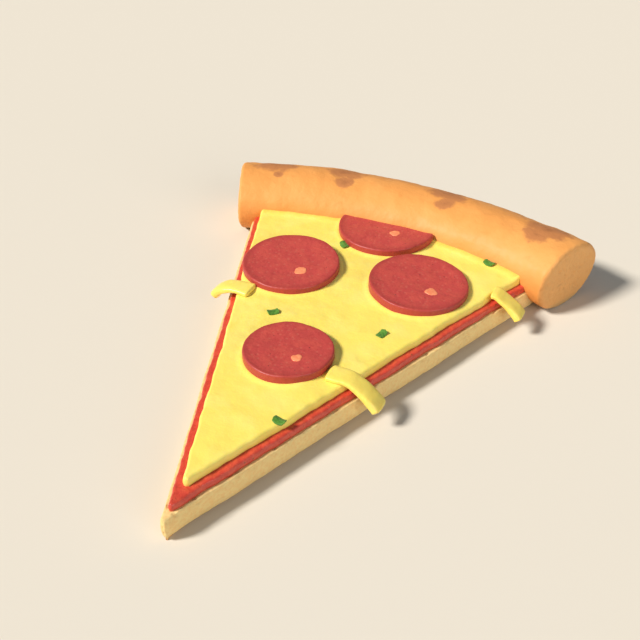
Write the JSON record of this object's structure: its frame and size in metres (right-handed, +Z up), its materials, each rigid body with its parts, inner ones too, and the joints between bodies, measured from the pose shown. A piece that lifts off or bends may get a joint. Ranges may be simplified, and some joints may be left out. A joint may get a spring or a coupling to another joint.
{
  "type": "pepperoni pizza slice",
  "caption": "Triangular slice of pizza with a raised crust rim, tomato sauce, melted cheese hanging over its cut sides and round pepperoni, lying flat.",
  "frame": {"origin": "middle of the bounding box, on the surface that the slice lies on", "axes": "+Z up, +Y from the slice's point towards its crust rim, +X to the right"},
  "size_m": [0.1596, 0.203, 0.0261],
  "materials": {
    "crust": "matt baked dough, golden on top and pale on its cut sides",
    "tomato_sauce": "wet, slightly grainy",
    "melted_cheese": "satin with an oily sheen",
    "pepperoni": "marbled, slightly oily",
    "herb": "dry leaf"
  },
  "bodies": {
    "root": {"dough": "crust", "sauce": "tomato_sauce", "cheese": "melted_cheese", "cheese_strand_front": "melted_cheese", "cheese_strand_rim": "melted_cheese", "cheese_strand_left": "melted_cheese", "pepperoni_left": "pepperoni", "pepperoni_right": "pepperoni", "pepperoni_front": "pepperoni", "pepperoni_rim": "pepperoni"}
  },
  "joints": []
}
